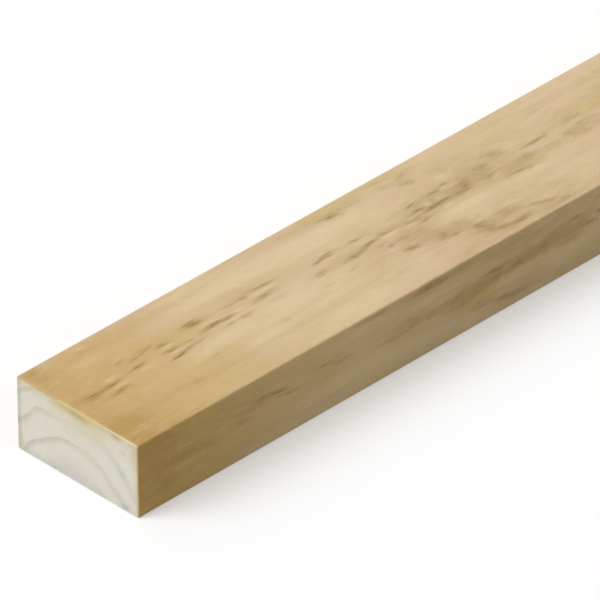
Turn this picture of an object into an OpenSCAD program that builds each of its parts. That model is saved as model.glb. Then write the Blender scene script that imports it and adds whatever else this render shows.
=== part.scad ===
// Plank of dressed softwood: one straight length of timber, planed on its
// four long faces and sawn square at both ends. It lies flat on a wide face.
// Length runs along X, width along Y and thickness along Z. The origin is
// the middle of the underside.

/* [Stock size] */
// Length between the two sawn ends
plank_length = 1200; // [300:10:6000]
// Width of the two wide faces
plank_width = 90; // [40:1:300]
// Thickness between the two wide faces
plank_thickness = 45; // [18:1:120]

/* [Edges] */
// Radius of the planed arris on the four long edges
arris_radius = 1; // [0.4:0.1:6]
// Setback of the eased rim round each sawn end
end_ease = 0.6; // [0.2:0.1:3]

/* [Hidden] */
// How far a trimming outline reaches past the faces that it doesn't trim
trim_overrun = 5;
$fn = 64;

// Outline of the plank seen square on to a long face, with the rim of both
// sawn ends cut back at 45 degrees.
module eased_outline(across) {
    end_x = plank_length / 2;
    edge_y = across / 2;
    polygon([
        [end_x, edge_y - end_ease],
        [end_x - end_ease, edge_y],
        [end_ease - end_x, edge_y],
        [-end_x, edge_y - end_ease],
        [-end_x, end_ease - edge_y],
        [end_ease - end_x, -edge_y],
        [end_x - end_ease, -edge_y],
        [end_x, end_ease - edge_y]
    ]);
}

// Cross-section of the plank, width by thickness, with rounded arrises.
module planed_section() {
    flat_width = plank_width - 2 * arris_radius;
    flat_thickness = plank_thickness - 2 * arris_radius;
    square([plank_width, flat_thickness], center = true);
    square([flat_width, plank_thickness], center = true);
    for (edge = [-1, 1], face = [-1, 1])
        translate([edge * flat_width / 2, face * flat_thickness / 2])
            circle(r = arris_radius);
}

// The planed length, trimmed round both sawn ends.
module plank() {
    color("#CDB085")
        translate([0, 0, plank_thickness / 2])
            intersection() {
                rotate([90, 0, 90])
                    linear_extrude(plank_length, center = true)
                        planed_section();
                linear_extrude(plank_thickness + 2 * trim_overrun, center = true)
                    eased_outline(plank_width);
                rotate([90, 0, 0])
                    linear_extrude(plank_width + 2 * trim_overrun, center = true)
                        eased_outline(plank_thickness);
            }
}

plank();
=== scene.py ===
import math
from types import SimpleNamespace
import bpy
import numpy as np
from mathutils import Matrix, Vector


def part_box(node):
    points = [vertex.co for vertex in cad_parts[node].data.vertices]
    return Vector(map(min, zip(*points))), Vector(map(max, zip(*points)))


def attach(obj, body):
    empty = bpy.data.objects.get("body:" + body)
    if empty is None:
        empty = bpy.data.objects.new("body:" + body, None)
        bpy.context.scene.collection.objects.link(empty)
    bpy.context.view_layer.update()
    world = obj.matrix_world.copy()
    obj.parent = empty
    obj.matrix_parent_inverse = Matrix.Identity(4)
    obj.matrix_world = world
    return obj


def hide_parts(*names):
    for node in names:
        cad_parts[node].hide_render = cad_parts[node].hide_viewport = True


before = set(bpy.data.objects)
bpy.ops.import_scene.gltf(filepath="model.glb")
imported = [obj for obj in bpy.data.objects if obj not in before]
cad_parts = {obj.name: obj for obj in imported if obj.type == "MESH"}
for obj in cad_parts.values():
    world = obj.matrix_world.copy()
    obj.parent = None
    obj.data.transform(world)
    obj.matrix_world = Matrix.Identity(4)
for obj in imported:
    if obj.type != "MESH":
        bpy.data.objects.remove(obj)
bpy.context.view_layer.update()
low, high = (np.array(corner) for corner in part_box("plank"))
size = high - low
middle = (low + high) / 2
mm = 0.001
print("frame: plank of", [round(float(side) / mm, 1) for side in size], "mm")


class Wire:
    # One socket of a node. Sums and products on it add Math nodes to its tree.
    def __init__(self, tree, socket=None):
        self.tree = tree
        self.socket = socket

    # Adds a node: its settings first, then a value or a link for each socket named
    def node(self, kind, settings, sockets, output=0):
        made = self.tree.nodes.new("ShaderNode" + kind)
        for name, value in settings.items():
            setattr(made, name, value)
        for name, value in sockets.items():
            if isinstance(value, Wire):
                self.tree.links.new(value.socket, made.inputs[name])
            else:
                made.inputs[name].default_value = value
        return Wire(self.tree, made.outputs[output] if made.outputs else None)

    # One Math node, with the values on its sockets in turn
    def maths(self, operation, *values):
        return self.node("Math", {"operation": operation}, dict(enumerate(values)))

    def __add__(self, other):
        return self.maths("ADD", self, other)

    def __radd__(self, other):
        return self.maths("ADD", other, self)

    def __sub__(self, other):
        return self.maths("SUBTRACT", self, other)

    def __rsub__(self, other):
        return self.maths("SUBTRACT", other, self)

    def __mul__(self, other):
        return self.maths("MULTIPLY", self, other)

    def __rmul__(self, other):
        return self.maths("MULTIPLY", other, self)

    def __truediv__(self, other):
        return self.maths("DIVIDE", self, other)

    def __pow__(self, other):
        return self.maths("POWER", self, other)

    def __abs__(self):
        return self.maths("ABSOLUTE", self)


factorSocket, firstSocket, secondSocket, mixedSocket = 0, 6, 7, 2  # of a Mix node for colours
noiseMean, noiseStretch = 0.5, 4.0  # take the noise node's 0 to 1 to about -1 to 1


# 0 up to start, 1 from stop on, and a smooth S between them
def smoothStep(value, start, stop):
    ends = {"Value": value, "From Min": start, "From Max": stop, "To Min": 0.0, "To Max": 1.0}
    return value.node("MapRange", {"interpolation_type": "SMOOTHSTEP"}, ends)


# Up from 0 to 1 over the rise and back to 0 over the fall: the product of two smooth steps
def ridge(value, rise, fall):
    return smoothStep(value, *rise) * smoothStep(value, *fall)


# A bell: e to the minus sum of (distance / reach) squared, so 1 at its middle and 1/e at one reach
def bell(*pairs):
    total = sum((distance / reach) ** 2 for distance, reach in pairs)
    return total.maths("EXPONENT", total * -1.0)


# 1 at an edge and less further in: e to the minus distance / depth
def decay(distance, depth):
    return distance.maths("EXPONENT", distance / depth * -1.0)


# From the least value to 1, as the share goes from 0 to 1
def lifted(least, share):
    return least + (1 - least) * share


# Sum of the layers named, each times its weight
def weighed(layers, weights):
    return sum(layers[name] * weight for name, weight in weights.items())


# The first colour where the factor is 0, the second where it is 1
def blend(factor, first, second):
    sockets = {factorSocket: factor, firstSocket: first, secondSocket: second}
    return factor.node("Mix", {"data_type": "RGBA"}, sockets, mixedSocket)


# Lets tones into a colour in turn, each by its share times a smooth step of its layer from start to stop
def toned(colour, layers, tones, paints):
    for layer, start, stop, share, paint in tones:
        colour = blend(smoothStep(layers[layer], start, stop) * share, colour, paints[paint])
    return colour


# Noise of about -1 to 1 whose cells are this long and wide, in mm. The shift tells one layer from the next.
def noise(place, along, across, shift, detail=2.0, distortion=0.0):
    scale = (1 / along, 1 / across, 1 / across)
    moved = place.node("Mapping", {}, {"Vector": place, "Location": (shift, shift, shift), "Scale": scale})
    sockets = {"Vector": moved, "Scale": 1.0, "Detail": detail, "Distortion": distortion}
    made = place.node("TexNoise", {"noise_dimensions": "3D"}, sockets)
    return (made - noiseMean) * noiseStretch


# An empty material, and a wire into its node tree
def newMaterial(name):
    material = bpy.data.materials.new(name)
    material.use_nodes = True
    material.node_tree.nodes.clear()
    return material, Wire(material.node_tree)


# Ends a material's tree: a shader with this colour and roughness, and a bump from the relief in mm
def finishSurface(wire, colour, roughness, relief, specular):
    bump = wire.node("Bump", {}, {"Height": relief, "Strength": 1.0, "Distance": mm})
    sockets = {"Base Color": colour, "Roughness": roughness, "Normal": bump, "Specular IOR Level": specular}
    surface = wire.node("BsdfPrincipled", {}, sockets)
    wire.node("OutputMaterial", {}, {"Surface": surface})


# Growth rings: cylinders round a pith line that wanders below the plank. A layer of noise is given, here and
# below, by mm along and across a cell, shift, detail and distortion.
growth = {
    "pithAcross": 2.5,  # mm towards +Y from the plank's mid-width, at the near end
    "pithBelow": 24.5,  # mm under the underside
    "core": 4.1,  # mm from the pith to the outer edge of the first ring
    "spacing": 14.3,  # mm from ring to ring
    "wander": (6, 5),  # mm that the pith strays across and up
    "wanderRun": (190, 150),  # mm along for each radian of those sways
    "wobble": (110, 16, 3.1, 2, 0),
    "wobbleDepth": 0.45,  # mm that a ring strays from its circle
    "swayShifts": (12.5, 15.8),  # tell the grain's sway across from its sway up
    "swayDetail": 1,
    # places where rings bend: mm towards +Y, mm up, reach in mm, and mm that they are pushed out by
    "bends": [(36, 7, 7, 0.9), (8, 22, 11, 2.2), (-12, 19, 9, 1.3), (-27, 9, 5, -0.8), (-34, 3, 6, 1),
              (29, 33, 8, 3.6), (39, 22.5, 5, -0.5), (-21, 34, 7, 2.2), (-40, 16, 9, -1.9)],
}


# Places in mm, as a vector and as distances from the near end, from mid-width and above the underside
def plankPlaces(wire):
    place = wire.node("TexCoord", {}, {}, "Object")
    corner = (-low[0] / mm, -middle[1] / mm, -low[2] / mm)
    scaled = {"Vector": place, "Location": corner, "Scale": (1 / mm, 1 / mm, 1 / mm)}
    place = place.node("Mapping", {}, scaled)
    parts = [place.node("SeparateXYZ", {}, {"Vector": place}, axis) for axis in range(3)]
    return place, *parts


# Distances across and up from the pith line, which strays as a sine of the way along
def fromPith(along, across, up):
    strays = zip(growth["wanderRun"], growth["wander"])
    strayAcross, strayUp = (along.maths("SINE", along / run) * wander for run, wander in strays)
    return across - growth["pithAcross"] - strayAcross, up + growth["pithBelow"] - strayUp


# Rings out from the pith, (radius - core) / spacing, so that each whole number is the outer edge of a ring.
# The radius strays by a noise, and by a bell at each bend.
def ringCount(place, across, up, pithY, pithZ):
    radius = (pithY ** 2 + pithZ ** 2) ** 0.5
    radius = radius + noise(place, *growth["wobble"]) * growth["wobbleDepth"]
    for bendY, bendZ, reach, push in growth["bends"]:
        radius = radius - push * bell((across - bendY, reach), (up - bendZ, reach))
    return (radius - growth["core"]) / growth["spacing"]


# The same places, moved across and up by noises of this depth in mm, so that straight grain runs in waves
def wavyGrain(place, along, across, depth):
    shifts = growth["swayShifts"]
    sway = [noise(place, along, across, shift, growth["swayDetail"]) * depth for shift in shifts]
    moved = place.node("CombineXYZ", {}, {"X": 0.0, "Y": sway[0], "Z": sway[1]})
    return place.node("VectorMath", {"operation": "ADD"}, {0: place, 1: moved})


# Planed faces. Colours are linear, as the shader takes them. A tone is given by its layer, the layer's values
# where the paint sets in and where it is full, its share there, and the paint.
planed = {
    "pale": (0.692, 0.525, 0.322, 1),
    "tan": (0.612, 0.45, 0.255, 1),
    "honey": (0.572, 0.374, 0.134, 1),
    "rosy": (0.66, 0.455, 0.3, 1),
    "yellow": (0.6, 0.455, 0.195, 1),
    "olive": (0.44, 0.305, 0.13, 1),
    "darkHoney": (0.41, 0.25, 0.062, 1),
    "fleck": (0.235, 0.14, 0.024, 1),
    "fibre": (0.785, 0.622, 0.39, 1),
    "waves": (60, 15, 2.6),  # mm along and across a wave of the grain, and mm that it sways
    "curls": (13, 5, 0.9),  # the same for the curls on those waves
    "straightLayers": {"clouds": (110, 20, 1.7), "hue": (46, 13, 9.4, 2, 0.6), "patchy": (90, 9, 7.7)},
    "wavyLayers": {"flames": (24, 8, 4.9, 2, 1.2), "streaks": (9, 3, 5.2, 2, 1),
                   "fibres": (4, 0.8, 2.6), "threads": (18, 0.3, 3.3), "canals": (9, 0.26, 6.9, 1)},
    "curlyLayers": {"ripple": (6, 1.8, 8.8, 1.5)},
    "warmth": {"hue": 0.75, "blush": 1.2},
    "softTones": [("clouds", -0.8, 0.8, 1, "tan"), ("warmth", 0, 1.2, 0.62, "rosy"),
                  ("warmth", 0, -1.2, 0.8, "yellow"), ("flames", 0, 1.1, 0.18, "olive"),
                  ("flames", 0, -1.1, 0.2, "fibre")],
    "endStain": 96,  # mm over which the honey stain of a sawn end dies away
    "stainRagged": 0.25,  # how far the flames vary that
    "stainShare": (0.85, 0.15),  # share of honey at an end, and how far the flames vary it
    "stainLost": (0, 1.2, 0.5),  # warmth where it starts to keep honey out and does most, and that share
    "patchGrain": {"flames": 0.35, "streaks": 0.15},  # how far these break up a soft patch
    "patchEdges": (0.02, 0.7),  # smear where a patch sets in and where it is full
    "darkShare": 0.7,
    "paleShare": 0.53,
    "ringGrain": {"flames": 0.1, "ripple": 0.04},  # rings that these move a latewood band by
    "late": ((0.5, 0.94), (1, 0.955)),  # shares of a ring over which latewood darkens and ends
    "patchyEdges": (-0.4, 0.8),
    "lateShare": (0.06, 0.3),  # share of dark all along a band, and more of it in patches
    "grainTones": [("streaks", 0.2, 1.2, 0.12, "olive"), ("streaks", -0.2, -1.2, 0.11, "fibre"),
                   ("fibres", 0.2, 1.3, 0.05, "olive"), ("fibres", -0.2, -1.3, 0.04, "fibre"),
                   ("threads", 0, 1.2, 0.2, "olive"), ("threads", 0, -1.2, 0.2, "fibre"),
                   ("canals", 0.7, 1.15, 0.3, "fleck")],
    "pucker": (0.12, 0.4),  # strength of puckered grain, and the fleck where it is full
    "markGrain": {"ripple": 0.3, "threads": 0.5},  # how far these break up a fleck
    "tornGain": 0.9,
    "raisedGain": 0.95,
    "rubReach": (1.6, 0.2),  # mm from an arris where rubbing sets in and where it is full
    "rubStreaks": (-0.4, 0.8),
    "rubShare": 0.22,
    "roughness": 0.7,
    "roughnessGrain": {"late": -0.108, "torn": -0.054, "fibres": 0.03},
    "relief": {"fibres": 0.01, "threads": 0.01, "late": 0.03, "streaks": 0.012,
               "raised": 0.05, "torn": -0.12},  # mm
    "specular": 0.3,
}


# Planed timber: tones blended one over the other, and a relief that is a weighed sum of layers
def planedMaterial():
    material, wire = newMaterial("planed_timber")
    place, along, across, up = plankPlaces(wire)
    count = ringCount(place, across, up, *fromPith(along, across, up))
    wavy = wavyGrain(place, *planed["waves"])
    curly = wavyGrain(wavy, *planed["curls"])
    layers = {}
    for name, field in plank["fields"].items():
        layers[name] = wire.node("Attribute", {"attribute_name": field}, {}, "Fac")
    for run, rows in ((place, "straightLayers"), (wavy, "wavyLayers"), (curly, "curlyLayers")):
        for name, row in planed[rows].items():
            layers[name] = noise(run, *row)

    # soft clouds, warm and cool patches, and flame shapes
    layers["warmth"] = weighed(layers, planed["warmth"])
    colour = toned(planed["pale"], layers, planed["softTones"], planed)

    # honey stain that soaks in from the sawn ends, less of it in rosy wood
    flames = layers["flames"]
    fromEnd = along.maths("MINIMUM", along, size[0] / mm - along)
    stain = bell((fromEnd * (1 + planed["stainRagged"] * flames), planed["endStain"]))
    share, change = planed["stainShare"]
    start, stop, lost = planed["stainLost"]
    soaked = stain * (share + change * flames) * (1 - lost * smoothStep(layers["warmth"], start, stop))
    colour = blend(soaked, colour, planed["honey"])

    # soft patches: dark where the smear is above 0, pale where it is below; on the side some of them are
    # painted shade along the top and painted light along the bottom
    patch = layers["smear"] * (1 + weighed(layers, planed["patchGrain"]))
    start, stop = planed["patchEdges"]
    dark = blend(stain, planed["olive"], planed["darkHoney"])
    colour = blend(smoothStep(patch, start, stop) * planed["darkShare"], colour, dark)
    colour = blend(smoothStep(patch, -start, -stop) * planed["paleShare"], colour, planed["fibre"])

    # latewood bands, dark towards the outer edge of each ring and patchy along it
    inRing = count.maths("FRACT", count + weighed(layers, planed["ringGrain"]))
    late = ridge(inRing, *planed["late"])
    least, more = planed["lateShare"]
    patchy = smoothStep(layers["patchy"], *planed["patchyEdges"])
    colour = blend(late * (least + more * patchy), colour, planed["olive"])

    # streaks, fibres, fine threads and short resin lines
    colour = toned(colour, layers, planed["grainTones"], planed)

    # flecks: dark where the field is above 0, pale where it is below, in puckered grain. The pale is a
    # painted highlight beside the torn grain, over a slight raised bump.
    fleck = layers["fleck"]
    pucker, full = planed["pucker"]
    puckered = pucker * smoothStep(abs(fleck), 0.0, full)
    mark = fleck * (1 + weighed(layers, planed["markGrain"])) + puckered * layers["ripple"]
    torn = 1 - mark.maths("EXPONENT", -planed["tornGain"] * mark.maths("MAXIMUM", mark, 0.0))
    raised = 1 - mark.maths("EXPONENT", planed["raisedGain"] * mark.maths("MINIMUM", mark, 0.0))
    colour = blend(raised, colour, planed["fibre"])
    colour = blend(torn, colour, planed["fleck"])

    # rubbed arrises
    halfWidth, halfThickness = size[1:] / mm / 2
    fromSide = halfWidth - abs(across)
    fromFace = halfThickness - abs(up - halfThickness)
    fromArris = along.maths("MAXIMUM", fromSide, fromFace)
    rubbed = smoothStep(fromArris, *planed["rubReach"]) * smoothStep(layers["streaks"], *planed["rubStreaks"])
    colour = blend(rubbed * planed["rubShare"], colour, planed["fibre"])

    layers.update(late=late, torn=torn, raised=raised)
    roughness = planed["roughness"] + weighed(layers, planed["roughnessGrain"])
    finishSurface(wire, colour, roughness, weighed(layers, planed["relief"]), planed["specular"])
    print("material: planed faces")
    return material


# Sawn ends. A spot is given by mm towards +Y, mm up, half width, half height and strength.
sawn = {
    "pale": (0.768, 0.75, 0.655, 1),
    "blush": (0.785, 0.72, 0.64, 1),
    "cool": (0.7, 0.722, 0.6, 1),
    "ring": (0.44, 0.405, 0.338, 1),
    "grey": (0.47, 0.475, 0.435, 1),
    "bare": (0.63, 0.48, 0.265, 1),
    "lapped": (0.47, 0.33, 0.175, 1),
    "yellowed": (0.63, 0.52, 0.19, 1),
    "cellLength": 400,  # mm along the cells of every layer, so that the pattern runs on over the rim
    "layers": {"mottle": (9, 4.4), "cool": (13, 8.1), "pores": (0.55, 6.3),
               "wander": (20, 2.2), "breaks": (6, 3.7), "ragged": (9, 1.3)},  # mm across a cell, and shift
    "groundTones": [("mottle", -0.7, 0.7, 1, "blush"), ("cool", 0, 1, 0.8, "cool")],
    "looseEdges": (10, -14),  # mm towards +Y where ring lines start to loosen and where they are loose
    "looseWander": 8,  # mm
    "firmLine": ((0.62, 0.91), (1, 0.92)),  # shares of a ring over which a line darkens and ends
    "faintLine": ((0.36, 0.78), (1, 0.76)),
    "faintShift": 0.14,  # share of a ring by which the broad faint lines lie further out
    "faintShare": 0.74,
    "lineShare": 0.45,
    "lineBreaks": (0.9, 0.35),  # strength along a line, and how far it comes and goes
    "heart": 34.5,  # mm from the pith where the grey heart zone ends
    "heartEdges": (0.45, -0.55),  # rings past that end where the grey sets in and where it is full
    "heartRagged": 0.2,
    "heartShare": 0.37,
    "lineEdges": (0.05, 0.35),  # rings past that end where lines set in and where they are full
    # spots where ring lines fade
    "fades": [(-1, 37, 22, 7, 0.85), (-1, 21, 9, 5, 0.4), (-37, 39, 10, 9, 0.85), (16, 35, 10, 5, 0.6)],
    # grey spots on the cut
    "shades": [(-36, 2, 4, 2.6, 0.6), (-28, 8.5, 5, 3.5, 0.22), (-16, 2, 5, 2, 0.3),
               (19, 2, 5, 2.2, 0.3), (-33.5, 22, 2.5, 2.5, 0.3), (44, 18.8, 1.4, 1.8, 0.9),
               (42, 3, 4, 7, 0.3), (32, 2, 7, 2.6, 0.35), (4, 6, 16, 5, 0.06)],
    "shadeMottle": 0.4,
    "rimStrip": (2, 1.4, 0.42),  # mm in from the left edge, half width and strength of a grey strip
    "raggedness": (0.5, 0.2),  # how far the depth of the rim's bands varies, and the least it comes to
    "belly": (-2, 26),  # mm towards +Y and half width of the stretch where the top bands hang down
    "bareDepth": (1, 0.9, 0.25, 0.2),  # mm in from the top, right, left and bottom edges
    "bareLeast": 0.25,  # share of bare wood along the top, away from the belly
    "bareCorner": [(-44, 42, 6, 9, 0.52)],
    "yellowDepth": (8, 2.2),  # mm that the fringe reaches in from the top and the right edge
    "hangLeast": 0.28,  # share of the top depth away from the belly
    "yellowTop": (0.34, 0.54),  # strength along the top, and how much the belly adds
    "yellowRight": 0.5,
    "yellowSpots": [(-44, 40, 4, 8, 0.4), (-13, 42, 13, 8, 0.4), (18, 42, 6, 3, 0.5),
                    (34, 43, 4, 2.5, 0.4), (-24, 44, 6, 2.5, 0.5), (-36, 44, 6, 2.5, 0.38),
                    (42, 43.5, 5, 3, 0.45), (43.5, 4, 2.5, 7, 0.2)],
    "lap": (0.85, 14),  # mm down and mm towards +Y where the top face's colour laps over the edge
    "lapEdges": (-4, 6),  # mm past the latter where it sets in and where it is full
    "lapWander": 3,  # mm
    "lapShare": 0.85,
    # brown spots along the top edge
    "smudges": [(2.5, 42.4, 4, 1.6, 0.5), (-4, 42, 4.5, 1.9, 0.5), (-29, 42.8, 4, 1.6, 0.5),
                (12, 42.8, 6, 1.8, 0.25), (-34, 35.2, 2.2, 1.8, 0.22)],
    "rayFan": (70, 1.6, 0.5),  # cells of ray noise for each radian and each ring, and a shift
    "rayDetail": 2,
    "fineTones": [("rays", 0.54, 0.78, 0.08, "ring"), ("pores", 0.3, 1.2, 0.1, "ring")],
    "kerf": {"Scale": 0.13, "Distortion": 3, "Detail": 2, "Detail Scale": 0.2},
    "roughness": (0.74, 0.86),
    "poreEdges": (-1, 1),  # from smooth to rough
    "relief": {"pores": 0.02, "line": 0.04, "kerf": 0.02},  # mm
    "specular": 0.2,
}


# One bell for each spot, times its strength
def spotBells(across, up, spots):
    return [bell((across - spotY, halfY), (up - spotZ, halfZ)) * strength
            for spotY, spotZ, halfY, halfZ, strength in spots]


# Sawn wood: ring lines, a grey heart and the bands of the rim blended over a mottled ground
def sawnMaterial():
    material, wire = newMaterial("sawn_end")
    place, along, across, up = plankPlaces(wire)
    pithY, pithZ = fromPith(along, across, up)
    count = ringCount(place, across, up, pithY, pithZ)
    layers = {name: noise(place, sawn["cellLength"], *row) for name, row in sawn["layers"].items()}
    mottle = layers["mottle"]
    colour = toned(sawn["pale"], layers, sawn["groundTones"], sawn)

    # latewood lines, thin and firm to the left, broad and faint to the right, and a grey heart
    loose = smoothStep(across + layers["wander"] * sawn["looseWander"], *sawn["looseEdges"])
    firm = ridge(count.maths("FRACT", count), *sawn["firmLine"])
    faint = ridge(count.maths("FRACT", count - sawn["faintShift"]), *sawn["faintLine"])
    line = firm * (1 - loose) + sawn["faintShare"] * faint * loose
    pastHeart = count - (sawn["heart"] - growth["core"]) / growth["spacing"]
    heart = smoothStep(pastHeart + sawn["heartRagged"] * mottle, *sawn["heartEdges"])
    strength, change = sawn["lineBreaks"]
    broken = (strength + change * layers["breaks"]) * smoothStep(pastHeart, *sawn["lineEdges"])
    for fade in spotBells(across, up, sawn["fades"]):
        broken = broken * (1 - fade)
    colour = blend(line * broken * sawn["lineShare"], colour, blend(loose, sawn["ring"], sawn["grey"]))
    colour = blend(heart * sawn["heartShare"], colour, sawn["grey"])

    # grey shades, and a strip down the left edge
    halfWidth = size[1] / mm / 2
    fromTop, fromRight, fromLeft = size[2] / mm - up, halfWidth + across, halfWidth - across
    for shade in spotBells(across, up, sawn["shades"]):
        colour = blend(shade * (1 + sawn["shadeMottle"] * mottle), colour, sawn["grey"])
    inset, halfStrip, strength = sawn["rimStrip"]
    colour = blend(bell((fromLeft - inset, halfStrip)) * strength, colour, sawn["ring"])

    # a yellowed fringe that hangs down from the top
    change, least = sawn["raggedness"]
    ragged = along.maths("MAXIMUM", 1 + change * layers["ragged"], least)
    mid, halfBelly = sawn["belly"]
    belly = bell((across - mid, halfBelly))
    topDepth, rightDepth = sawn["yellowDepth"]
    strength, more = sawn["yellowTop"]
    fringe = decay(fromTop, ragged * lifted(sawn["hangLeast"], belly) * topDepth) * (strength + more * belly)
    fringe = along.maths("MAXIMUM", fringe, decay(fromRight, rightDepth) * sawn["yellowRight"])
    for spot in spotBells(across, up, sawn["yellowSpots"]):
        fringe = along.maths("MAXIMUM", fringe, spot)
    colour = blend(fringe, colour, sawn["yellowed"])

    # bare wood round the rim
    cover = 1.0
    edges = fromTop, fromRight, fromLeft, up
    shares = lifted(sawn["bareLeast"], belly), 1.0, 1.0, 1.0
    for edge, depth, share in zip(edges, sawn["bareDepth"], shares):
        cover = cover * (1 - share * decay(edge, ragged * depth))
    for corner in spotBells(across, up, sawn["bareCorner"]):
        cover = cover * (1 - corner * ragged)
    colour = blend(1 - cover, colour, sawn["bare"])

    # the top face's colour where it laps over the rim, and brown smudges
    lapDepth, lapFrom = sawn["lap"]
    pastLap = across + mottle * sawn["lapWander"] - lapFrom
    lap = smoothStep(fromTop, lapDepth, lapDepth / 2) * smoothStep(pastLap, *sawn["lapEdges"])
    colour = blend(lap * sawn["lapShare"], colour, sawn["lapped"])
    for smudge in spotBells(across + mottle, up, sawn["smudges"]):
        colour = blend(smudge, colour, planed["olive"])

    # fine rays out from the pith, pores, and saw marks that run up the end
    aroundPith, outward, shift = sawn["rayFan"]
    angle = along.maths("ARCTAN2", pithY, pithZ)
    fan = wire.node("CombineXYZ", {}, {"X": angle * aroundPith, "Y": count * outward, "Z": shift})
    layers["rays"] = wire.node("TexNoise", {}, {"Vector": fan, "Scale": 1.0, "Detail": sawn["rayDetail"]})
    colour = toned(colour, layers, sawn["fineTones"], sawn)
    kerf = wire.node("TexWave", {"bands_direction": "Y"}, {"Vector": place, **sawn["kerf"]})

    layers.update(line=line, kerf=kerf)
    smooth, rough = sawn["roughness"]
    roughness = smooth + (rough - smooth) * smoothStep(layers["pores"], *sawn["poreEdges"])
    finishSurface(wire, colour, roughness, weighed(layers, sawn["relief"]), sawn["specular"])
    print("material: sawn ends")
    return material


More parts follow.
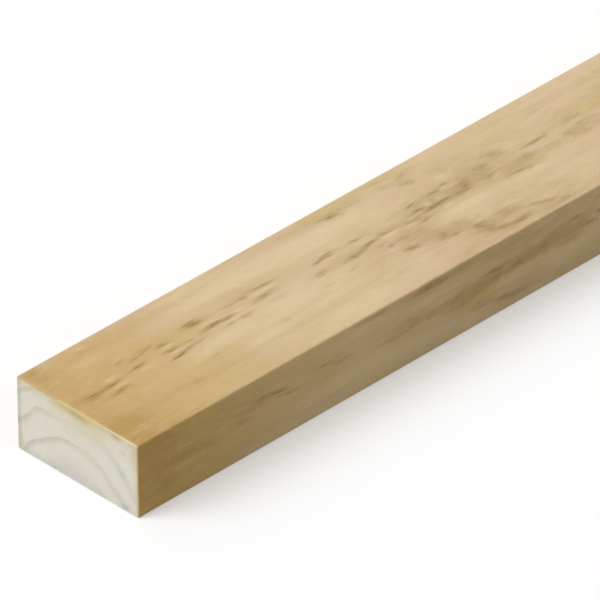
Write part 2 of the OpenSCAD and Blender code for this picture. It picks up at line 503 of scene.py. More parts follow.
# The plank's own surface. A stroke is given by mm along from the near end, mm across the face, length, width,
# slope and strength. Faces go over the top, down the right side, back underneath and up the left side.
plank = {
    "arris": 1 * mm,
    "endEase": 0.6 * mm,
    "arrisCells": 3,
    "rimCells": 2,
    "cellsAcross": (1.9 * mm, 0.55 * mm),  # on most of a face, and in the band where its marks crowd
    "wideBand": (-5 * mm, 18 * mm),  # from mid-width towards +Y
    "deepBand": (-2 * mm, 9 * mm),  # up from mid-thickness
    "cellsAlong": (2.2 * mm, 4.6 * mm),  # near the first end, where marks are placed one by one, and beyond
    "closeStretch": 430 * mm,
    "tearDepth": 0.3 * mm,
    "fields": {"fleck": "grainFleck", "smear": "grainSmearAndPaintedLight", "blush": "grainBlush"},
    "mapGap": 0.004,  # bare margin round each part of the map, as a share of the map
    "mapStripsTop": 0.78,  # height in the map up to which the four faces lie
    "mapEndsTop": 0.996,  # height up to which both ends lie
    # torn grain: dark where the strength is above 0, pale and raised where it is below, the pale being a
    # painted highlight
    "topFlecks": [
        (17, 42, 12, 4.5, 0, 0.4), (29, 41, 13, 3.4, 0, 1.25), (28, 48.2, 18, 3.6, -0.02, 0.68),
        (48.5, 38.8, 12, 3.2, -0.12, 0.85), (46.5, 29.5, 9, 3, 0, 0.4), (55, 32.2, 9, 3.2, -0.15, 0.55),
        (62, 30, 11, 3.2, -0.2, 0.6), (73, 33.3, 9, 3.2, 0, 0.72), (74, 40.3, 10, 3.4, 0, 1.15),
        (84, 40.2, 14, 2.4, 0.04, 0.32), (73.8, 46.3, 12, 3.4, -0.12, 1.1), (86, 44.2, 18, 2.2, -0.17, 0.5),
        (97.5, 30.5, 13, 4.8, 0, 1.3), (108, 38.5, 16, 3.6, 0.03, 1.4), (99, 39.4, 12, 2.4, -0.08, 0.6),
        (116, 39.6, 12, 2.6, 0.05, 0.32), (39, 8.6, 6, 3.4, 0, 0.4), (88, 58.8, 14, 2.2, -0.03, 0.2),
        (64, 69.8, 10, 2.8, 0.05, 0.24), (123, 31.6, 16, 2.8, 0, 0.36), (142, 31, 22, 3, 0.02, 0.5),
        (141, 38.9, 16, 4.2, 0, 0.72), (131, 32.2, 8, 2.8, 0, 0.4), (123, 45, 9, 2.8, 0.03, 0.55),
        (114, 44.5, 10, 2.4, 0, 0.3), (190, 35.2, 14, 3.6, -0.06, 0.58), (181.5, 36.3, 7, 2.8, -0.1, 0.45),
        (211, 35.4, 12, 3.4, 0.05, 0.52), (176.5, 45, 10, 4.6, 0, 0.45), (201, 45.6, 16, 4.4, -0.08, 0.65),
        (214, 43, 16, 2.8, -0.1, 0.75), (228, 41.4, 18, 2.6, 0, 0.7), (243, 44.6, 16, 2.6, 0.14, 0.42),
        (218, 48.3, 9, 2.8, 0, 0.35), (221, 52.6, 10, 3.2, 0.05, 0.65), (227.5, 61.3, 11, 3.8, 0, 0.9),
        (218.5, 10.8, 11, 4.2, 0, 0.7), (208, 8.5, 12, 3.4, 0.1, 0.35), (134, 62, 7, 3, 0, 0.35),
        (175, 56.5, 9, 2.4, 0.05, 0.3), (195, 53.2, 12, 2.2, -0.2, 0.3), (231, 51.5, 10, 4, 0, 0.35),
        (252.5, 38.9, 11, 3.2, -0.04, 0.9), (266, 42.4, 17, 3.6, 0.03, 0.95), (251, 48, 10, 2.8, 0, 0.5),
        (284, 43.2, 14, 4.4, -0.03, 0.55), (290, 38.5, 9, 7, -0.4, 0.7), (256, 33.4, 10, 3.8, -0.2, 0.55),
        (272, 32.4, 18, 4.2, 0, 0.4), (282.5, 30.8, 9, 2.2, 0, 0.42), (246, 65, 9, 5, 0, 0.36),
        (254, 68, 12, 3, 0.05, 0.6), (268, 71.8, 12, 3.6, 0.15, 0.62), (270.5, 76, 8, 8, 0.5, 0.6),
        (276, 81.5, 10, 3.8, 0.25, 0.28), (288, 82.8, 16, 3.6, -0.03, 0.95),
        (304, 78.9, 18, 3.6, 0.12, 0.36), (312, 81, 8, 3, 0, 0.4), (288, 72.5, 14, 7, 0.1, 0.4),
        (317, 86.8, 22, 3, 0, 0.42), (306, 33.2, 10, 3.4, 0.1, 0.5), (320, 29, 12, 6, 0.2, 0.22),
        (306, 42, 12, 3.2, -0.02, 0.28), (318, 50.6, 24, 3.2, 0.06, 0.55), (268.5, 16, 8, 6, 0, 0.42),
        (258, 10.6, 8, 2.6, 0, 0.4), (271, 8.6, 8, 2.6, -0.2, 0.4), (332, 42.2, 6, 2.8, 0, 0.4),
        (346, 36.5, 20, 3.6, 0, 0.5), (377, 34, 16, 3.4, 0, 0.45), (378, 41, 16, 3.4, 0, 0.45),
        # pale strokes: painted highlights beside the torn grain
        (33, 45, 14, 2.8, 0, -0.38), (31, 37, 7, 2.6, 0, -0.5), (50, 42, 14, 2.8, -0.05, -0.35),
        (47.5, 26.7, 7, 2.4, 0, -0.35), (73, 36.4, 9, 2.4, 0, -0.5), (74, 42.6, 9, 2.4, -0.05, -0.5),
        (106, 36.3, 16, 2.4, 0.02, -0.6), (114, 42.2, 10, 2.4, 0.05, -0.25), (143, 34.3, 18, 2.4, 0, -0.6),
        (124, 38.2, 8, 2.2, 0, -0.5), (83, 54.5, 12, 3.2, -0.2, -0.4), (191, 31.8, 8, 2.2, 0, -0.35),
        (191, 37.5, 12, 2.2, 0, -0.4), (205, 37.8, 12, 2.2, 0, -0.22), (230, 44.6, 20, 2.4, 0, -0.75),
        (243, 45.8, 12, 2.4, 0.05, -0.7), (219, 55.6, 6, 2.4, -0.2, -0.45), (262, 38.2, 4, 2.6, 0, -0.9),
        (271, 38.2, 6, 2.4, 0, -0.7), (270, 46.6, 7, 2.2, 0, -0.5), (247, 41.5, 6, 2.2, 0, -0.6),
        (254, 41.5, 5, 2.2, 0, -0.5), (281, 33.6, 9, 2.6, 0, -0.55), (290, 80.8, 9, 2.6, 0, -0.28),
        (284, 24, 8, 4, 0, -0.5), (175, 58.6, 10, 2.4, 0, -0.4), (40, 5, 6, 2.8, 0, -0.4),
        (84, 7, 4, 3, 0, -0.3), (108, 7.5, 8, 3, 0, -0.45), (279, 63, 10, 2.6, 0.1, -0.25),
    ],
    # soft patches: dark above 0, pale below
    "topSmears": [
        (8, 12, 20, 12, 0, 0.3), (5, 4, 18, 10, 0, 0.5), (32, 15, 34, 12, 0, -0.35),
        (114, 5, 50, 9, 0, -0.36), (34, 56, 60, 12, 0, -0.22), (188, 54, 30, 9, 0, -0.3),
        (207, 75, 26, 12, 0, 0.28), (246, 43, 14, 6, 0, 0.3), (11, 70, 24, 12, 0, 0.34),
        (0, 45, 34, 150, 0, 0.23), (15, 42, 20, 6, 0, 0.35), (85, 36, 90, 18, 0, 0.18),
        (62, 68, 40, 8, 0, 0.2), (128, 25, 44, 10, 0, 0.6), (168, 4, 44, 8, 0, 0.12),
        (140, 34, 40, 10, 0, 0.25), (200, 45, 40, 7, -0.05, 0.35), (215, 35, 24, 7, 0, 0.25),
        (236, 53, 32, 13, 0, 0.42), (246, 85, 28, 9, 0, 0.15), (235, 10, 50, 5, 0, 0.3),
        (220, 9, 30, 6, 0.05, 0.4), (268, 37, 36, 10, 0, 0.28), (290, 40, 24, 9, 0, 0.45),
        (308, 37, 44, 24, 0, 0.32), (326, 43, 26, 8, 0, 0.4), (366, 44, 64, 11, 0, 0.62),
        (362, 34, 60, 9, 0, 0.25), (326, 74, 20, 10, 0, 0.4), (350, 82, 34, 14, 0, 0.22),
        (320, 28, 16, 9, 0.2, 0.28), (314, 48, 40, 6, 0.06, 0.26), (258, 65, 34, 10, 0.1, 0.34),
        (270, 77, 20, 10, 0.4, 0.45), (286, 74, 26, 10, 0.05, 0.25), (313, 85.5, 40, 6, 0, 0.36),
        (150, 61, 60, 4, 0, 0.25), (146, 44, 20, 8, 0, 0.3), (172, 64, 36, 8, 0, -0.3),
        (100, 62, 50, 8, 0, 0.15), (150, 17, 110, 14, 0, -0.5), (190, 19, 50, 12, 0, -0.45),
        (226, 22, 40, 16, 0, -0.38), (100, 52, 60, 12, 0, -0.38), (150, 54, 44, 12, 0, -0.4),
        (275, 52, 46, 10, 0.02, -1), (325, 56, 40, 7, 0.03, -0.5), (178, 78, 40, 12, 0, -0.2),
        (115, 70, 40, 14, 0, -0.3), (65, 20, 60, 12, 0, -0.1), (60, 56, 50, 10, 0, -0.08),
        (165, 82, 50, 10, 0, -0.3), (250, 24, 50, 10, 0, -0.2), (330, 12, 40, 14, 0, -0.3),
        (150, 45, 135, 130, 0, -0.3), (260, 45, 90, 130, 0, 0.32),
    ],
    # hue: rosy above 0, yellow below
    "topBlushes": [
        (8, 8, 22, 12, 0, 1.2), (240, 54, 44, 18, 0, 0.6), (262, 22, 40, 10, 0, 0.4),
        (190, 20, 36, 12, 0, 0.7), (150, 54, 36, 14, 0, 0.6), (60, 3, 130, 11, 0, 1),
        (80, 34, 130, 36, 0, -0.5), (240, 80, 44, 14, 0, 0.7), (300, 30, 40, 10, 0, 0.4),
        (60, 76, 60, 12, 0, -0.5), (250, 6, 60, 9, 0, -0.8), (175, 40, 36, 12, 0, 0.4),
        (40, 20, 60, 20, 0, -0.5), (130, 80, 70, 16, 0, -0.3), (215, 22, 40, 14, 0, -0.6),
        (275, 53, 40, 10, 0, -0.7), (215, 7, 30, 8, 0, -0.6), (330, 10, 40, 14, 0, -0.6),
        (140, 34, 40, 8, 0, -0.4), (200, 62, 40, 14, 0, -0.4), (310, 40, 50, 16, 0, -0.5),
        (70, 60, 60, 14, 0, -0.3),
    ],
    # torn grain of the side: dark above 0, and pale below as a painted highlight
    "sideFlecks": [
        (97, 15.4, 14, 3, 0.06, 0.84), (89, 13.6, 10, 2.4, 0, 0.28), (109, 19.6, 16, 2.8, 0.04, 0.52),
        (75, 22, 16, 4.6, 0.05, 0.36), (30, 21.5, 24, 3.4, 0.1, 0.06), (42, 23, 10, 2.2, 0.25, 0.05),
        (146, 18, 14, 2.6, 0.15, 0.36), (138, 15, 20, 3, 0, 0.3), (213, 4.2, 30, 3.4, 0.04, 0.72),
        (163, 2.4, 36, 2.6, 0, 0.5), (192, 23, 34, 3, 0, 0.34), (212, 23.2, 12, 2.6, -0.03, 0.36),
        (226, 20, 16, 2.6, 0, 0.05), (195, 17, 24, 2.8, 0, 0.22), (265, 21.4, 14, 2.6, 0, 0.6),
        (275, 19.6, 14, 2.8, 0, 0.42), (292, 19, 20, 4.6, 0, 0.28), (262, 16.2, 14, 2.4, 0.05, 0.44),
        (252, 33.4, 14, 2.6, 0.04, 0.54), (271, 37, 18, 5, 0.05, 0.55), (308, 39.5, 10, 2.8, 0, 0.24),
        (313, 23.8, 24, 2.8, 0.03, 0.3), (101, 11.8, 12, 2.4, 0, -0.25), (214, 18, 6, 2.2, 0.2, -0.1),
        (135, 6, 12, 2.2, 0, -0.25), (268, 18.6, 8, 2.2, 0, -0.4), (262, 13, 14, 2.4, 0, -0.3),
    ],
    # soft patches of the side, dark above 0 and pale below; some of them are painted light and painted shade
    # that even the side out from top to bottom
    "sideSmearsAndPaintedLight": [
        (12, 3, 30, 6, 0, 0.35), (16, 35, 26, 8, 0, 0.4), (30, 21, 50, 6, 0.05, 0.45),
        (213, 3.5, 50, 5, 0.03, 0.45), (195, 20, 50, 7, 0, 0.5), (275, 18.5, 60, 8, 0, 0.72),
        (242, 26, 40, 12, 0, 0.5), (277, 38.5, 38, 9, 0, 0.75), (312, 18, 50, 13, 0, 0.65),
        (140, 18, 46, 9, 0, 0.38), (85, 17, 40, 8, 0, 0.4), (268, 28, 36, 5, 0, -0.85),
        (222, 11, 60, 7, 0, -0.75), (165, 8, 60, 7, 0, -0.4), (320, 29, 40, 5, 0, -0.4),
        # painted light: the long pale bands 38 to 43 mm down on the next two lines; painted shade: the dark
        # bands 5 and 8 mm down on the line after them
        (170, 30, 90, 10, 0, -0.3), (130, 39, 110, 9, 0, -0.45), (200, 38, 80, 9, 0, -0.45),
        (35, 26.5, 20, 2.5, 0, -0.3), (150, 22, 130, 60, 0, -0.22), (250, 43, 380, 18, 0, -1.1),
        (160, 5, 360, 18, 0, 0.14), (0, 22, 110, 90, 0, 0.44), (100, 8, 130, 22, 0, 0.18),
        (312, 33, 50, 9, 0, -0.4),
    ],
    "sideBlushes": [
        (10, 20, 110, 60, 0, -1.1), (30, 38, 60, 10, 0, -0.6), (45, 10, 40, 12, 0, -0.5),
        (240, 27, 30, 12, 0, -0.5), (310, 18, 40, 14, 0, -0.6), (165, 6, 50, 10, 0, 0.3),
        (100, 24, 130, 40, 0, -0.4), (230, 35, 40, 10, 0, 0.2), (290, 33, 40, 10, 0, 0.5),
    ],
    # strokes strewn over the rest, one row for each face: number (of clusters, and of strokes in each), mm
    # along where they start, middle and spread in mm across, then lengths, widths and strengths
    "seed": 4,
    "strewnMargin": 20,  # mm from the far end where strewing stops
    "clusters": [(15, 5, 400, 40, 9), (11, 4, 345, 20, 6), (20, 5, 20, 47, 10), (14, 4, 20, 24, 6)],
    "strewnSmears": [
        (80, 370, 45, 24, (30, 80), (7, 16), (-0.6, 0.5)), (34, 345, 22, 11, (30, 80), (4, 10), (-0.5, 0.5)),
        (110, 20, 45, 24, (30, 80), (7, 16), (-0.6, 0.5)), (50, 20, 22, 11, (30, 80), (4, 10), (-0.5, 0.5)),
    ],
    "strewnBlushes": [
        (60, 370, 45, 24, (30, 70), (8, 18), (-0.7, 0.7)), (26, 345, 22, 11, (30, 70), (8, 14), (-0.6, 0.6)),
        (80, 20, 45, 24, (30, 70), (8, 18), (-0.7, 0.7)), (34, 20, 22, 11, (30, 70), (8, 14), (-0.6, 0.6)),
    ],
}

# How strokes are drawn: a pair is the range of an even draw, a spread that of a normal one about 0
drawing = {
    "cut": 1.5,  # lengths from its middle past which a stroke is left off
    "sway": (0.1, 0.5),  # mm
    "swayRun": (3, 7),  # mm along for each radian of the sway
    "swayStart": (0, 6.3),  # radians
    "steepness": [0.75, 1.4],  # of a stroke's two sides, either way round
    "halo": (1.1, 1.05, 0.3),  # length, width and strength of a fleck's halo, times the fleck's
    "strandPitch": 1.4,  # mm of a fleck's width for each strand
    "mostStrands": 4,
    "strandSpan": 0.85,  # share of a fleck's width that its strands take
    "strandStray": 0.06,  # spread across, in widths of the fleck
    "strandSlip": (-0.26, 0.26),  # along, in lengths of the fleck
    "strandLength": (0.45, 0.95),  # times the fleck's
    "strandWidth": (1.1, 1.7),  # mm
    "strandSlope": 0.035,  # spread
    "strandStrength": (0.5, 1.1),  # times the fleck's
    "strewnSlope": 0.04,  # spread
    "heart": ((10, 24), (2.8, 4.6), (0.45, 1)),  # lengths, widths and strengths in a cluster
    "clusterAlong": 13,  # mm of spread
    "clusterAcross": 5,
    "clusterLength": (0.5, 1.1),  # times the heart's
    "clusterWidth": (0.7, 1.1),
    "clusterSlope": 0.07,  # spread
    "clusterStrength": (0.4, 1),
    # the pale twin is a painted highlight
    "twin": (0.8, 0.7, -0.7),  # length, width and strength of a pale twin, times the dark stroke's
    "twinAcross": [-0.8, 0.8, 0.8],  # widths of the dark stroke to the twin, one of them at random
}


# Places across a section from -span/2 to span/2: a few over each arris, and even cells between them that are
# close in the band and wide on both sides of it
def sectionLine(span, band):
    edge = span / 2 - plank["arris"]
    lead = np.linspace(-span / 2, -edge, plank["arrisCells"], endpoint=False)
    knots = -edge, *band, edge
    wide, close = plank["cellsAcross"]
    counts = [round((knots[i + 1] - knots[i]) / cell) for i, cell in enumerate((wide, close, wide))]
    flat = [np.linspace(knots[i], knots[i + 1], count, endpoint=False) for i, count in enumerate(counts)]
    return np.concatenate([lead, *flat, [edge], -lead[::-1]])


# In each corner square of side r, the point at fractions (a, b) goes to r*a*sqrt(1 - b*b/2) across and
# r*b*sqrt(1 - a*a/2) up, which bends the square's two outer sides into one quarter circle
def roundArrises(y, z, edgeY, edgeZ, r):
    a = np.clip(np.abs(y) - edgeY, 0, None) / r
    b = np.clip(np.abs(z) - edgeZ, 0, None) / r
    roundY = np.minimum(np.abs(y), edgeY) + r * a * np.sqrt(1 - b * b / 2)
    roundZ = np.minimum(np.abs(z), edgeZ) + r * b * np.sqrt(1 - a * a / 2)
    return np.sign(y) * roundY, np.sign(z) * roundZ


# The section as a grid with rounded corners, and its outline as places i, j on that grid. Each point of the
# outline has a normal, a face and a way across that face.
def plankSection():
    width, thickness = size[1:]
    arris = plank["arris"]
    edgeY, edgeZ = width / 2 - arris, thickness / 2 - arris
    lineY, lineZ = sectionLine(width, plank["wideBand"]), sectionLine(thickness, plank["deepBand"])
    gridY, gridZ = roundArrises(*np.meshgrid(lineY, lineZ, indexing="ij"), edgeY, edgeZ, arris)
    nY, nZ = len(lineY) - 1, len(lineZ) - 1
    rowY, rowZ = np.arange(nY + 1), np.arange(nZ + 1)
    outI = np.concatenate([rowY[:0:-1], 0 * rowZ[1:], rowY[:-1], 0 * rowZ[1:] + nY])
    outJ = np.concatenate([0 * rowY[1:] + nZ, rowZ[:0:-1], 0 * rowY[1:], rowZ[:-1]])
    outY, outZ = gridY[outI, outJ], gridZ[outI, outJ]
    normalY = (outY - np.clip(outY, -edgeY, edgeY)) / arris
    normalZ = (outZ - np.clip(outZ, -edgeZ, edgeZ)) / arris
    spans = np.array([width, thickness, width, thickness])
    face = np.repeat(np.arange(len(spans)), [nY, nZ, nY, nZ])
    across = np.concatenate([width / 2 - lineY[:0:-1], thickness / 2 - lineZ[:0:-1],
                             width / 2 + lineY[:-1], thickness / 2 + lineZ[:-1]])
    return SimpleNamespace(gridY=gridY, gridZ=gridZ, outI=outI, outJ=outJ, outY=outY, outZ=outZ, face=face,
                           normalY=normalY, normalZ=normalZ, spans=spans, starts=np.cumsum(spans) - spans,
                           across=across)


# Stations along the length, close together where strokes are placed one by one, and how far the section is
# drawn in at each: by the ease at a sawn end, less over its rim, and nowhere else
def plankStations():
    length = size[0]
    ease = plank["endEase"]
    rim = np.linspace(0, ease, plank["rimCells"] + 1)
    knots = ease, plank["closeStretch"], length - ease
    nClose, nFar = (round((knots[i + 1] - knots[i]) / cell) for i, cell in enumerate(plank["cellsAlong"]))
    close = np.linspace(*knots[:2], nClose, endpoint=False)
    body = np.concatenate([close, np.linspace(*knots[1:], nFar + 1)])
    stations = np.concatenate([rim[:-1], body, length - rim[-2::-1]])
    inset = np.concatenate([ease - rim[:-1], 0 * body, ease - rim[-2::-1]])
    return stations, inset


# Sum of strokes, each its strength times e to the minus (way along / half length) squared, minus (way off
# its line / half width) squared. The line slopes and sways, and one side of it is steeper than the other.
def strokeField(along, around, strokes, rng):
    field = np.zeros(np.broadcast(along, around).shape)
    for mid, across, length, width, slope, strength in strokes:
        near = np.abs(along[:, 0] - mid) < drawing["cut"] * length
        past = along[near] - mid
        depth, run, start = (rng.uniform(*drawing[name]) for name in ("sway", "swayRun", "swayStart"))
        sway = depth * np.sin(past / run + start)
        ends = (past / (length / 2)) ** 2
        offset = (around - across - slope * past - sway) / (width / 2)
        steepness = rng.permutation(drawing["steepness"])
        sides = (offset * np.where(offset < 0, *steepness)) ** 2
        field[near] += strength * np.exp(-(ends + sides))
    return field


# Each fleck as a soft halo with a few thin strands in it, spaced evenly across and slipped along at random
def stranded(rng, flecks):
    along, across, length, width, slope, strength = flecks.T
    longer, wider, weaker = drawing["halo"]
    halos = np.column_stack([along, across, length * longer, width * wider, slope, strength * weaker])
    each = np.clip(np.round(width / drawing["strandPitch"]), 1, drawing["mostStrands"]).astype(int)
    along, across, length, width, slope, strength = np.repeat(flecks, each, axis=0).T
    n = len(along)
    order = np.arange(n) - np.repeat(np.cumsum(each) - each, each)
    beside = (order + 0.5) / np.repeat(each, each) - 0.5 + rng.normal(0, drawing["strandStray"], n)
    strands = np.column_stack([
        along + length * rng.uniform(*drawing["strandSlip"], n),
        across + width * beside * drawing["strandSpan"],
        length * rng.uniform(*drawing["strandLength"], n),
        rng.uniform(*drawing["strandWidth"], n),
        slope + rng.normal(0, drawing["strandSlope"], n),
        strength * rng.uniform(*drawing["strandStrength"], n)])
    return np.concatenate([halos, strands])


# Strokes strewn in a band: even along the run, and bell-shaped about its middle
def strewn(rng, count, run, mid, spread, lengths, widths, strengths):
    return np.column_stack([
        rng.uniform(*run, count), rng.normal(mid, spread, count), rng.uniform(*lengths, count),
        rng.uniform(*widths, count), rng.normal(0, drawing["strewnSlope"], count),
        rng.uniform(*strengths, count)])


# Torn grain in clusters: dark strokes close about a heart, each with a pale twin beside it that is a painted
# highlight
def clustered(rng, clusters, each, run, mid, spread):
    hearts = strewn(rng, clusters, run, mid, spread, *drawing["heart"])
    along, across, length, width, slope, strength = np.repeat(hearts, each, axis=0).T
    n = len(along)
    along = along + rng.normal(0, drawing["clusterAlong"], n)
    across = across + rng.normal(0, drawing["clusterAcross"], n)
    length = length * rng.uniform(*drawing["clusterLength"], n)
    width = width * rng.uniform(*drawing["clusterWidth"], n)
    slope = slope + rng.normal(0, drawing["clusterSlope"], n)
    strength = strength * rng.uniform(*drawing["clusterStrength"], n)
    beside = across + width * rng.choice(drawing["twinAcross"], n)
    shorter, thinner, opposite = drawing["twin"]
    dark = np.column_stack([along, across, length, width, slope, strength])
    pale = np.column_stack([along, beside, length * shorter, width * thinner, slope, strength * opposite])
    return np.concatenate([dark, pale])


# Strokes of one face on the unrolled plank: the face's start is added to their way across
def shifted(strokes, faceStart):
    along, across, *rest = np.array(strokes, float).T
    return np.column_stack([along, across + faceStart, *rest])


# Flecks, smears and blushes at every station and outline point: sums of the strokes placed one by one and of
# those strewn, in mm on the unrolled plank
def grainFields(stations, section):
    rng = np.random.default_rng(plank["seed"])
    starts = section.starts / mm
    end = size[0] / mm - plank["strewnMargin"]
    placed = (("topFlecks", "sideFlecks"), ("topSmears", "sideSmearsAndPaintedLight"), ("topBlushes", "sideBlushes"))
    flecks, smears, blushes = ([shifted(plank[name], start) for name, start in zip(names, starts)]
                               for names in placed)
    for start, (clusters, each, begin, mid, spread) in zip(starts, plank["clusters"]):
        flecks.append(clustered(rng, clusters, each, (begin, end), start + mid, spread))
    for strokes, rows in ((smears, plank["strewnSmears"]), (blushes, plank["strewnBlushes"])):
        for start, (count, begin, mid, spread, *ranges) in zip(starts, rows):
            strokes.append(strewn(rng, count, (begin, end), start + mid, spread, *ranges))
    flecks = [stranded(rng, np.concatenate(flecks))]
    around = (section.starts[section.face] + section.across) / mm
    return [strokeField(stations[:, None] / mm, around[None, :], np.concatenate(strokes), rng)
            for strokes in (flecks, smears, blushes)]


# Points of the long faces: the outline carried along the stations, scaled by 1 - 2 * inset / span, and sunk
# along its normals where the grain is torn. The inner points of both end grids follow them.
def plankPoints(section, stations, inset, flecks):
    width, thickness = size[1:]
    arris, ease = plank["arris"], plank["endEase"]
    fromEdge = np.minimum(section.across, section.spans[section.face] - section.across)
    flat = np.clip((fromEdge - arris) / arris, 0, 1)  # leaves the arrises whole
    sink = plank["tearDepth"] * np.clip(flecks, 0, 1) * flat * (inset == 0)[:, None]
    ringX = np.broadcast_to(low[0] + stations[:, None], sink.shape)
    ringY = middle[1] + section.outY * (1 - 2 * inset[:, None] / width) - section.normalY * sink
    ringZ = middle[2] + section.outZ * (1 - 2 * inset[:, None] / thickness) - section.normalZ * sink
    points = [np.stack([ringX, ringY, ringZ], axis=2)]
    endY = middle[1] + section.gridY[1:-1, 1:-1] * (1 - 2 * ease / width)
    endZ = middle[2] + section.gridZ[1:-1, 1:-1] * (1 - 2 * ease / thickness)
    for endX in (low[0], high[0]):
        points.append(np.stack([np.full(endY.shape, endX), endY, endZ], axis=2))
    return np.concatenate([part.reshape(-1, 3) for part in points])


# Quads between neighbours: station by outline on the long faces, then cell by cell on the two end grids
def plankFaces(section, nAlong):
    nOut = len(section.outI)
    step = np.arange(nAlong - 1)[:, None] * nOut
    here = np.arange(nOut)[None, :]
    beside = (here + 1) % nOut
    quads = [np.stack([step + here, step + beside, step + nOut + beside, step + nOut + here], axis=2)]
    innerY, innerZ = (n - 2 for n in section.gridY.shape)
    nInner = innerY * innerZ
    for end, ring in enumerate((0, nAlong - 1)):
        index = np.empty(section.gridY.shape, int)
        index[section.outI, section.outJ] = ring * nOut + np.arange(nOut)
        index[1:-1, 1:-1] = (nAlong * nOut + end * nInner + np.arange(nInner)).reshape(innerY, innerZ)
        cells = np.stack([index[:-1, :-1], index[1:, :-1], index[1:, 1:], index[:-1, 1:]], axis=2)
        quads.append(cells if end else cells[:, :, ::-1])
    return np.concatenate([part.reshape(-1, 4) for part in quads])


# A UV map of its own: the four faces as strips the long way, one above the other, and both ends
# flat and side by side above them. Places are metres times a scale, plus a gap.
def bakeMap(section, stations, points, faces, planedRun):
    length, width, thickness = size
    gap, stripsTop, endsTop = plank["mapGap"], plank["mapStripsTop"], plank["mapEndsTop"]
    face, across = section.face, section.across
    perMetre = (stripsTop - (len(section.spans) + 1) * gap) / section.spans.sum()
    stripLow = gap + section.starts[face] * perMetre + face * gap
    toNext = np.where(np.roll(face, -1) == face, np.roll(across, -1), section.spans[face])
    u = np.broadcast_to((gap + stations / length * (1 - 2 * gap))[:, None], (len(stations), len(face)))
    vHere, vNext = (np.broadcast_to(stripLow + way * perMetre, u[1:].shape) for way in (across, toNext))
    corners = (u[:-1], vHere), (u[:-1], vNext), (u[1:], vNext), (u[1:], vHere)
    strips = np.stack([np.stack(corner, axis=2) for corner in corners], axis=2).reshape(-1, 4, 2)

    endScale = min((endsTop - stripsTop - gap) / thickness, (1 - 3 * gap) / 2 / width)
    x, y, z = np.moveaxis(points[faces], 2, 0)
    atFar = x.mean(axis=1) > middle[0]
    flatU = gap + (y - low[1]) * endScale + atFar[:, None] * (0.5 + gap / 2)
    flatV = stripsTop + gap + (z - low[2]) * endScale
    places = np.stack([flatU, flatV], axis=2)
    places[planedRun] = strips[planedRun]
    return places


# The dressed plank from these points and quads, with the rims and the two ends sawn and the rest planed
def buildPlank():
    section = plankSection()
    stations, inset = plankStations()
    fields = grainFields(stations, section)
    points = plankPoints(section, stations, inset, fields[0])
    faces = plankFaces(section, len(stations))
    mesh = bpy.data.meshes.new("dressed_plank")
    mesh.from_pydata(points.tolist(), [], faces.tolist())
    mesh.polygons.foreach_set("use_smooth", np.ones(len(faces), bool))

    rimCells, nOut = plank["rimCells"], len(section.face)
    planedRun = slice(rimCells * nOut, (len(stations) - 1 - rimCells) * nOut)
    isSawn = np.ones(len(faces), np.int32)
    isSawn[planedRun] = 0
    mesh.materials.append(planedMaterial())
    mesh.materials.append(sawnMaterial())
    mesh.polygons.foreach_set("material_index", isSawn)
    for name, field in zip(plank["fields"].values(), fields):
        values = np.zeros(len(points), np.float32)
        values[:field.size] = field.ravel()
        mesh.attributes.new(name, "FLOAT", "POINT").data.foreach_set("value", values)
    places = bakeMap(section, stations, points, faces, planedRun)
    mesh.uv_layers.new(name="OFBake").data.foreach_set("uv", places.astype(np.float32).ravel())
    mesh.update()
    mesh.validate()

    piece = bpy.data.objects.new("dressed_plank", mesh)
    bpy.context.scene.collection.objects.link(piece)
    print("plank:", len(points), "points,", 2 * len(faces), "triangles")
    return piece


dressedPlank = buildPlank()
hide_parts("plank")
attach(dressedPlank, "root")

studio = {
    "floorSpan": 40,  # m
    "floorDrop": 0.2 * mm,  # keeps the floor clear of the underside
    "white": (1, 1, 1, 1),
    "bounce": (0.46, 0.44, 0.37, 1),  # warm grey that the floor shows to the plank
    "glow": 0.35,  # share of plain white in the floor that the camera sees, which softens the shadow
    "sky": (0.52, 0.51, 0.47, 1),  # share of the light that comes evenly from the whole sky
    "keyFrom": (-0.62, 0.34, 0.71),
    "keySpread": 40,  # degrees across the soft key light
    "keyDistance": 3,  # m, and the light is the same from any distance
}


# 1 for what the camera sees directly, in a reflection or through glass, else 0: the sum of the three, up to 1
def seen(wire):
    names = "Is Camera Ray", "Is Glossy Ray", "Is Transmission Ray"
    rays = [wire.node("LightPath", {}, {}, name) for name in names]
    return rays[0].maths("MINIMUM", rays[0] + rays[1] + rays[2], 1.0)


# A square floor that shows white to the camera and a warm grey to the plank
def buildFloor():
    material, wire = newMaterial("pale_floor")
    inView = seen(wire)
    lit = wire.node("BsdfDiffuse", {}, {"Color": blend(inView, studio["bounce"], studio["white"])})
    plain = wire.node("Emission", {}, {"Color": studio["white"], "Strength": 1.0})
    surface = wire.node("MixShader", {}, {0: inView * studio["glow"], 1: lit, 2: plain})
    wire.node("OutputMaterial", {}, {"Surface": surface})
    half = studio["floorSpan"] / 2
    level = low[2] - studio["floorDrop"]
    corners = [(-half, -half, level), (half, -half, level), (half, half, level), (-half, half, level)]
    mesh = bpy.data.meshes.new("floor")
    mesh.from_pydata(corners, [], [(0, 1, 2, 3)])
    mesh.materials.append(material)
    floor = bpy.data.objects.new("floor", mesh)
    bpy.context.scene.collection.objects.link(floor)


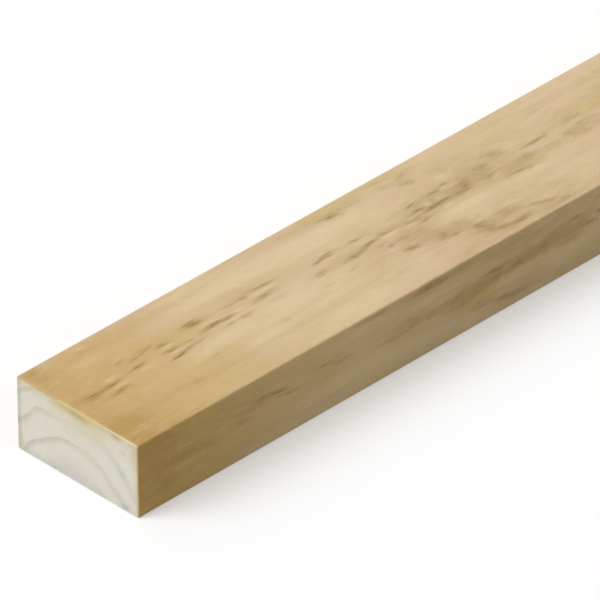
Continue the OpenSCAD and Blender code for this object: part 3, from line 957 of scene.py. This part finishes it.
# An even sky and a soft key light. On a level face the key gives what the sky leaves of a full light: pi over
# the upward part of its direction, so that the top renders in its own colours.
def buildLights():
    world = bpy.data.worlds.new("studio")
    bpy.context.scene.world = world
    world.use_nodes = True
    world.node_tree.nodes.clear()
    wire = Wire(world.node_tree)
    sky = blend(seen(wire), studio["sky"], studio["white"])
    light = wire.node("Background", {}, {"Color": sky, "Strength": 1.0})
    wire.node("OutputWorld", {}, {"Surface": light})

    toKey = Vector(studio["keyFrom"]).normalized()
    lamp = bpy.data.lights.new("key", "SUN")
    lamp.energy = math.pi / toKey.z
    lamp.color = [1 - share for share in studio["sky"][:3]]
    lamp.angle = math.radians(studio["keySpread"])
    key = bpy.data.objects.new("key", lamp)
    key.rotation_euler = toKey.to_track_quat("Z", "Y").to_euler()
    key.location = toKey * studio["keyDistance"]
    bpy.context.scene.collection.objects.link(key)
    bpy.context.scene.view_settings.view_transform = "Standard"


buildFloor()
buildLights()
print("studio: floor, sky and key light")

lens = {
    "heading": 45.596,  # degrees from +X towards +Y
    "dip": 34.221,  # degrees below level
    "roll": -0.472,  # degrees
    "focal": 600,  # mm
    "sensor": 36,  # mm wide
    "distance": 5.2001,  # m
    "farClip": 100,  # m
    "aim": (151.76, 35.66),  # mm from the near end and from the right edge, on the top face
}


# The camera looks along its heading and dip at the aim point, from the distance given
def buildCamera():
    heading, dip, roll = (math.radians(lens[name]) for name in ("heading", "dip", "roll"))
    forward = Vector((math.cos(heading) * math.cos(dip), math.sin(heading) * math.cos(dip), -math.sin(dip)))
    level = Vector((math.sin(heading), -math.cos(heading), 0))
    upright = level.cross(forward)
    right = math.cos(roll) * level + math.sin(roll) * upright
    above = math.cos(roll) * upright - math.sin(roll) * level
    aim = Vector((low[0] + lens["aim"][0] * mm, low[1] + lens["aim"][1] * mm, high[2]))
    data = bpy.data.cameras.new("camera")
    data.lens = lens["focal"]
    data.sensor_width = lens["sensor"]
    data.clip_end = lens["farClip"]
    camera = bpy.data.objects.new("camera", data)
    turn = Matrix((right, above, -forward)).transposed().to_4x4()
    camera.matrix_world = Matrix.Translation(aim - forward * lens["distance"]) @ turn
    bpy.context.scene.collection.objects.link(camera)
    bpy.context.scene.camera = camera
    print("camera:", lens["distance"], "m from the aim point")


buildCamera()
